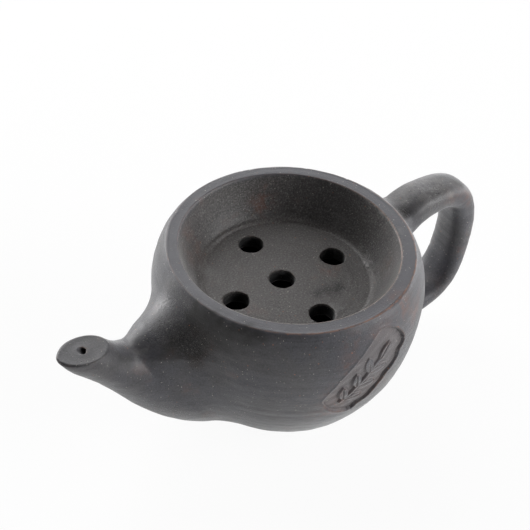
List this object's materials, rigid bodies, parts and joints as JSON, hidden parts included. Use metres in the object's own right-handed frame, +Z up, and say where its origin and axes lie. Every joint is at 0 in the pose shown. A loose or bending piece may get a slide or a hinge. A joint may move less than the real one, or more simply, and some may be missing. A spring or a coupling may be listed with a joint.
{
  "type": "teapot-shaped clay pipe bowl",
  "caption": "Unglazed clay bowl for a water pipe, shaped as a small lidless teapot, with a pierced dish, spout, strap handle and stem socket.",
  "frame": {"origin": "centre of the stem socket's mouth, in the plane of the foot", "axes": "+Z up along the vessel's axis, +X towards the handle, -X towards the spout, the pressed panel faces -Y"},
  "size_m": [0.161, 0.0866, 0.064],
  "materials": {
    "smoked_clay": "unglazed, smoke-fired dark grey, satin, with fine pale and orange grit"
  },
  "bodies": {
    "root": {"body_shell": "smoked_clay", "dish": "smoked_clay", "spout": "smoked_clay", "handle": "smoked_clay", "stem_socket": "smoked_clay"}
  },
  "joints": []
}
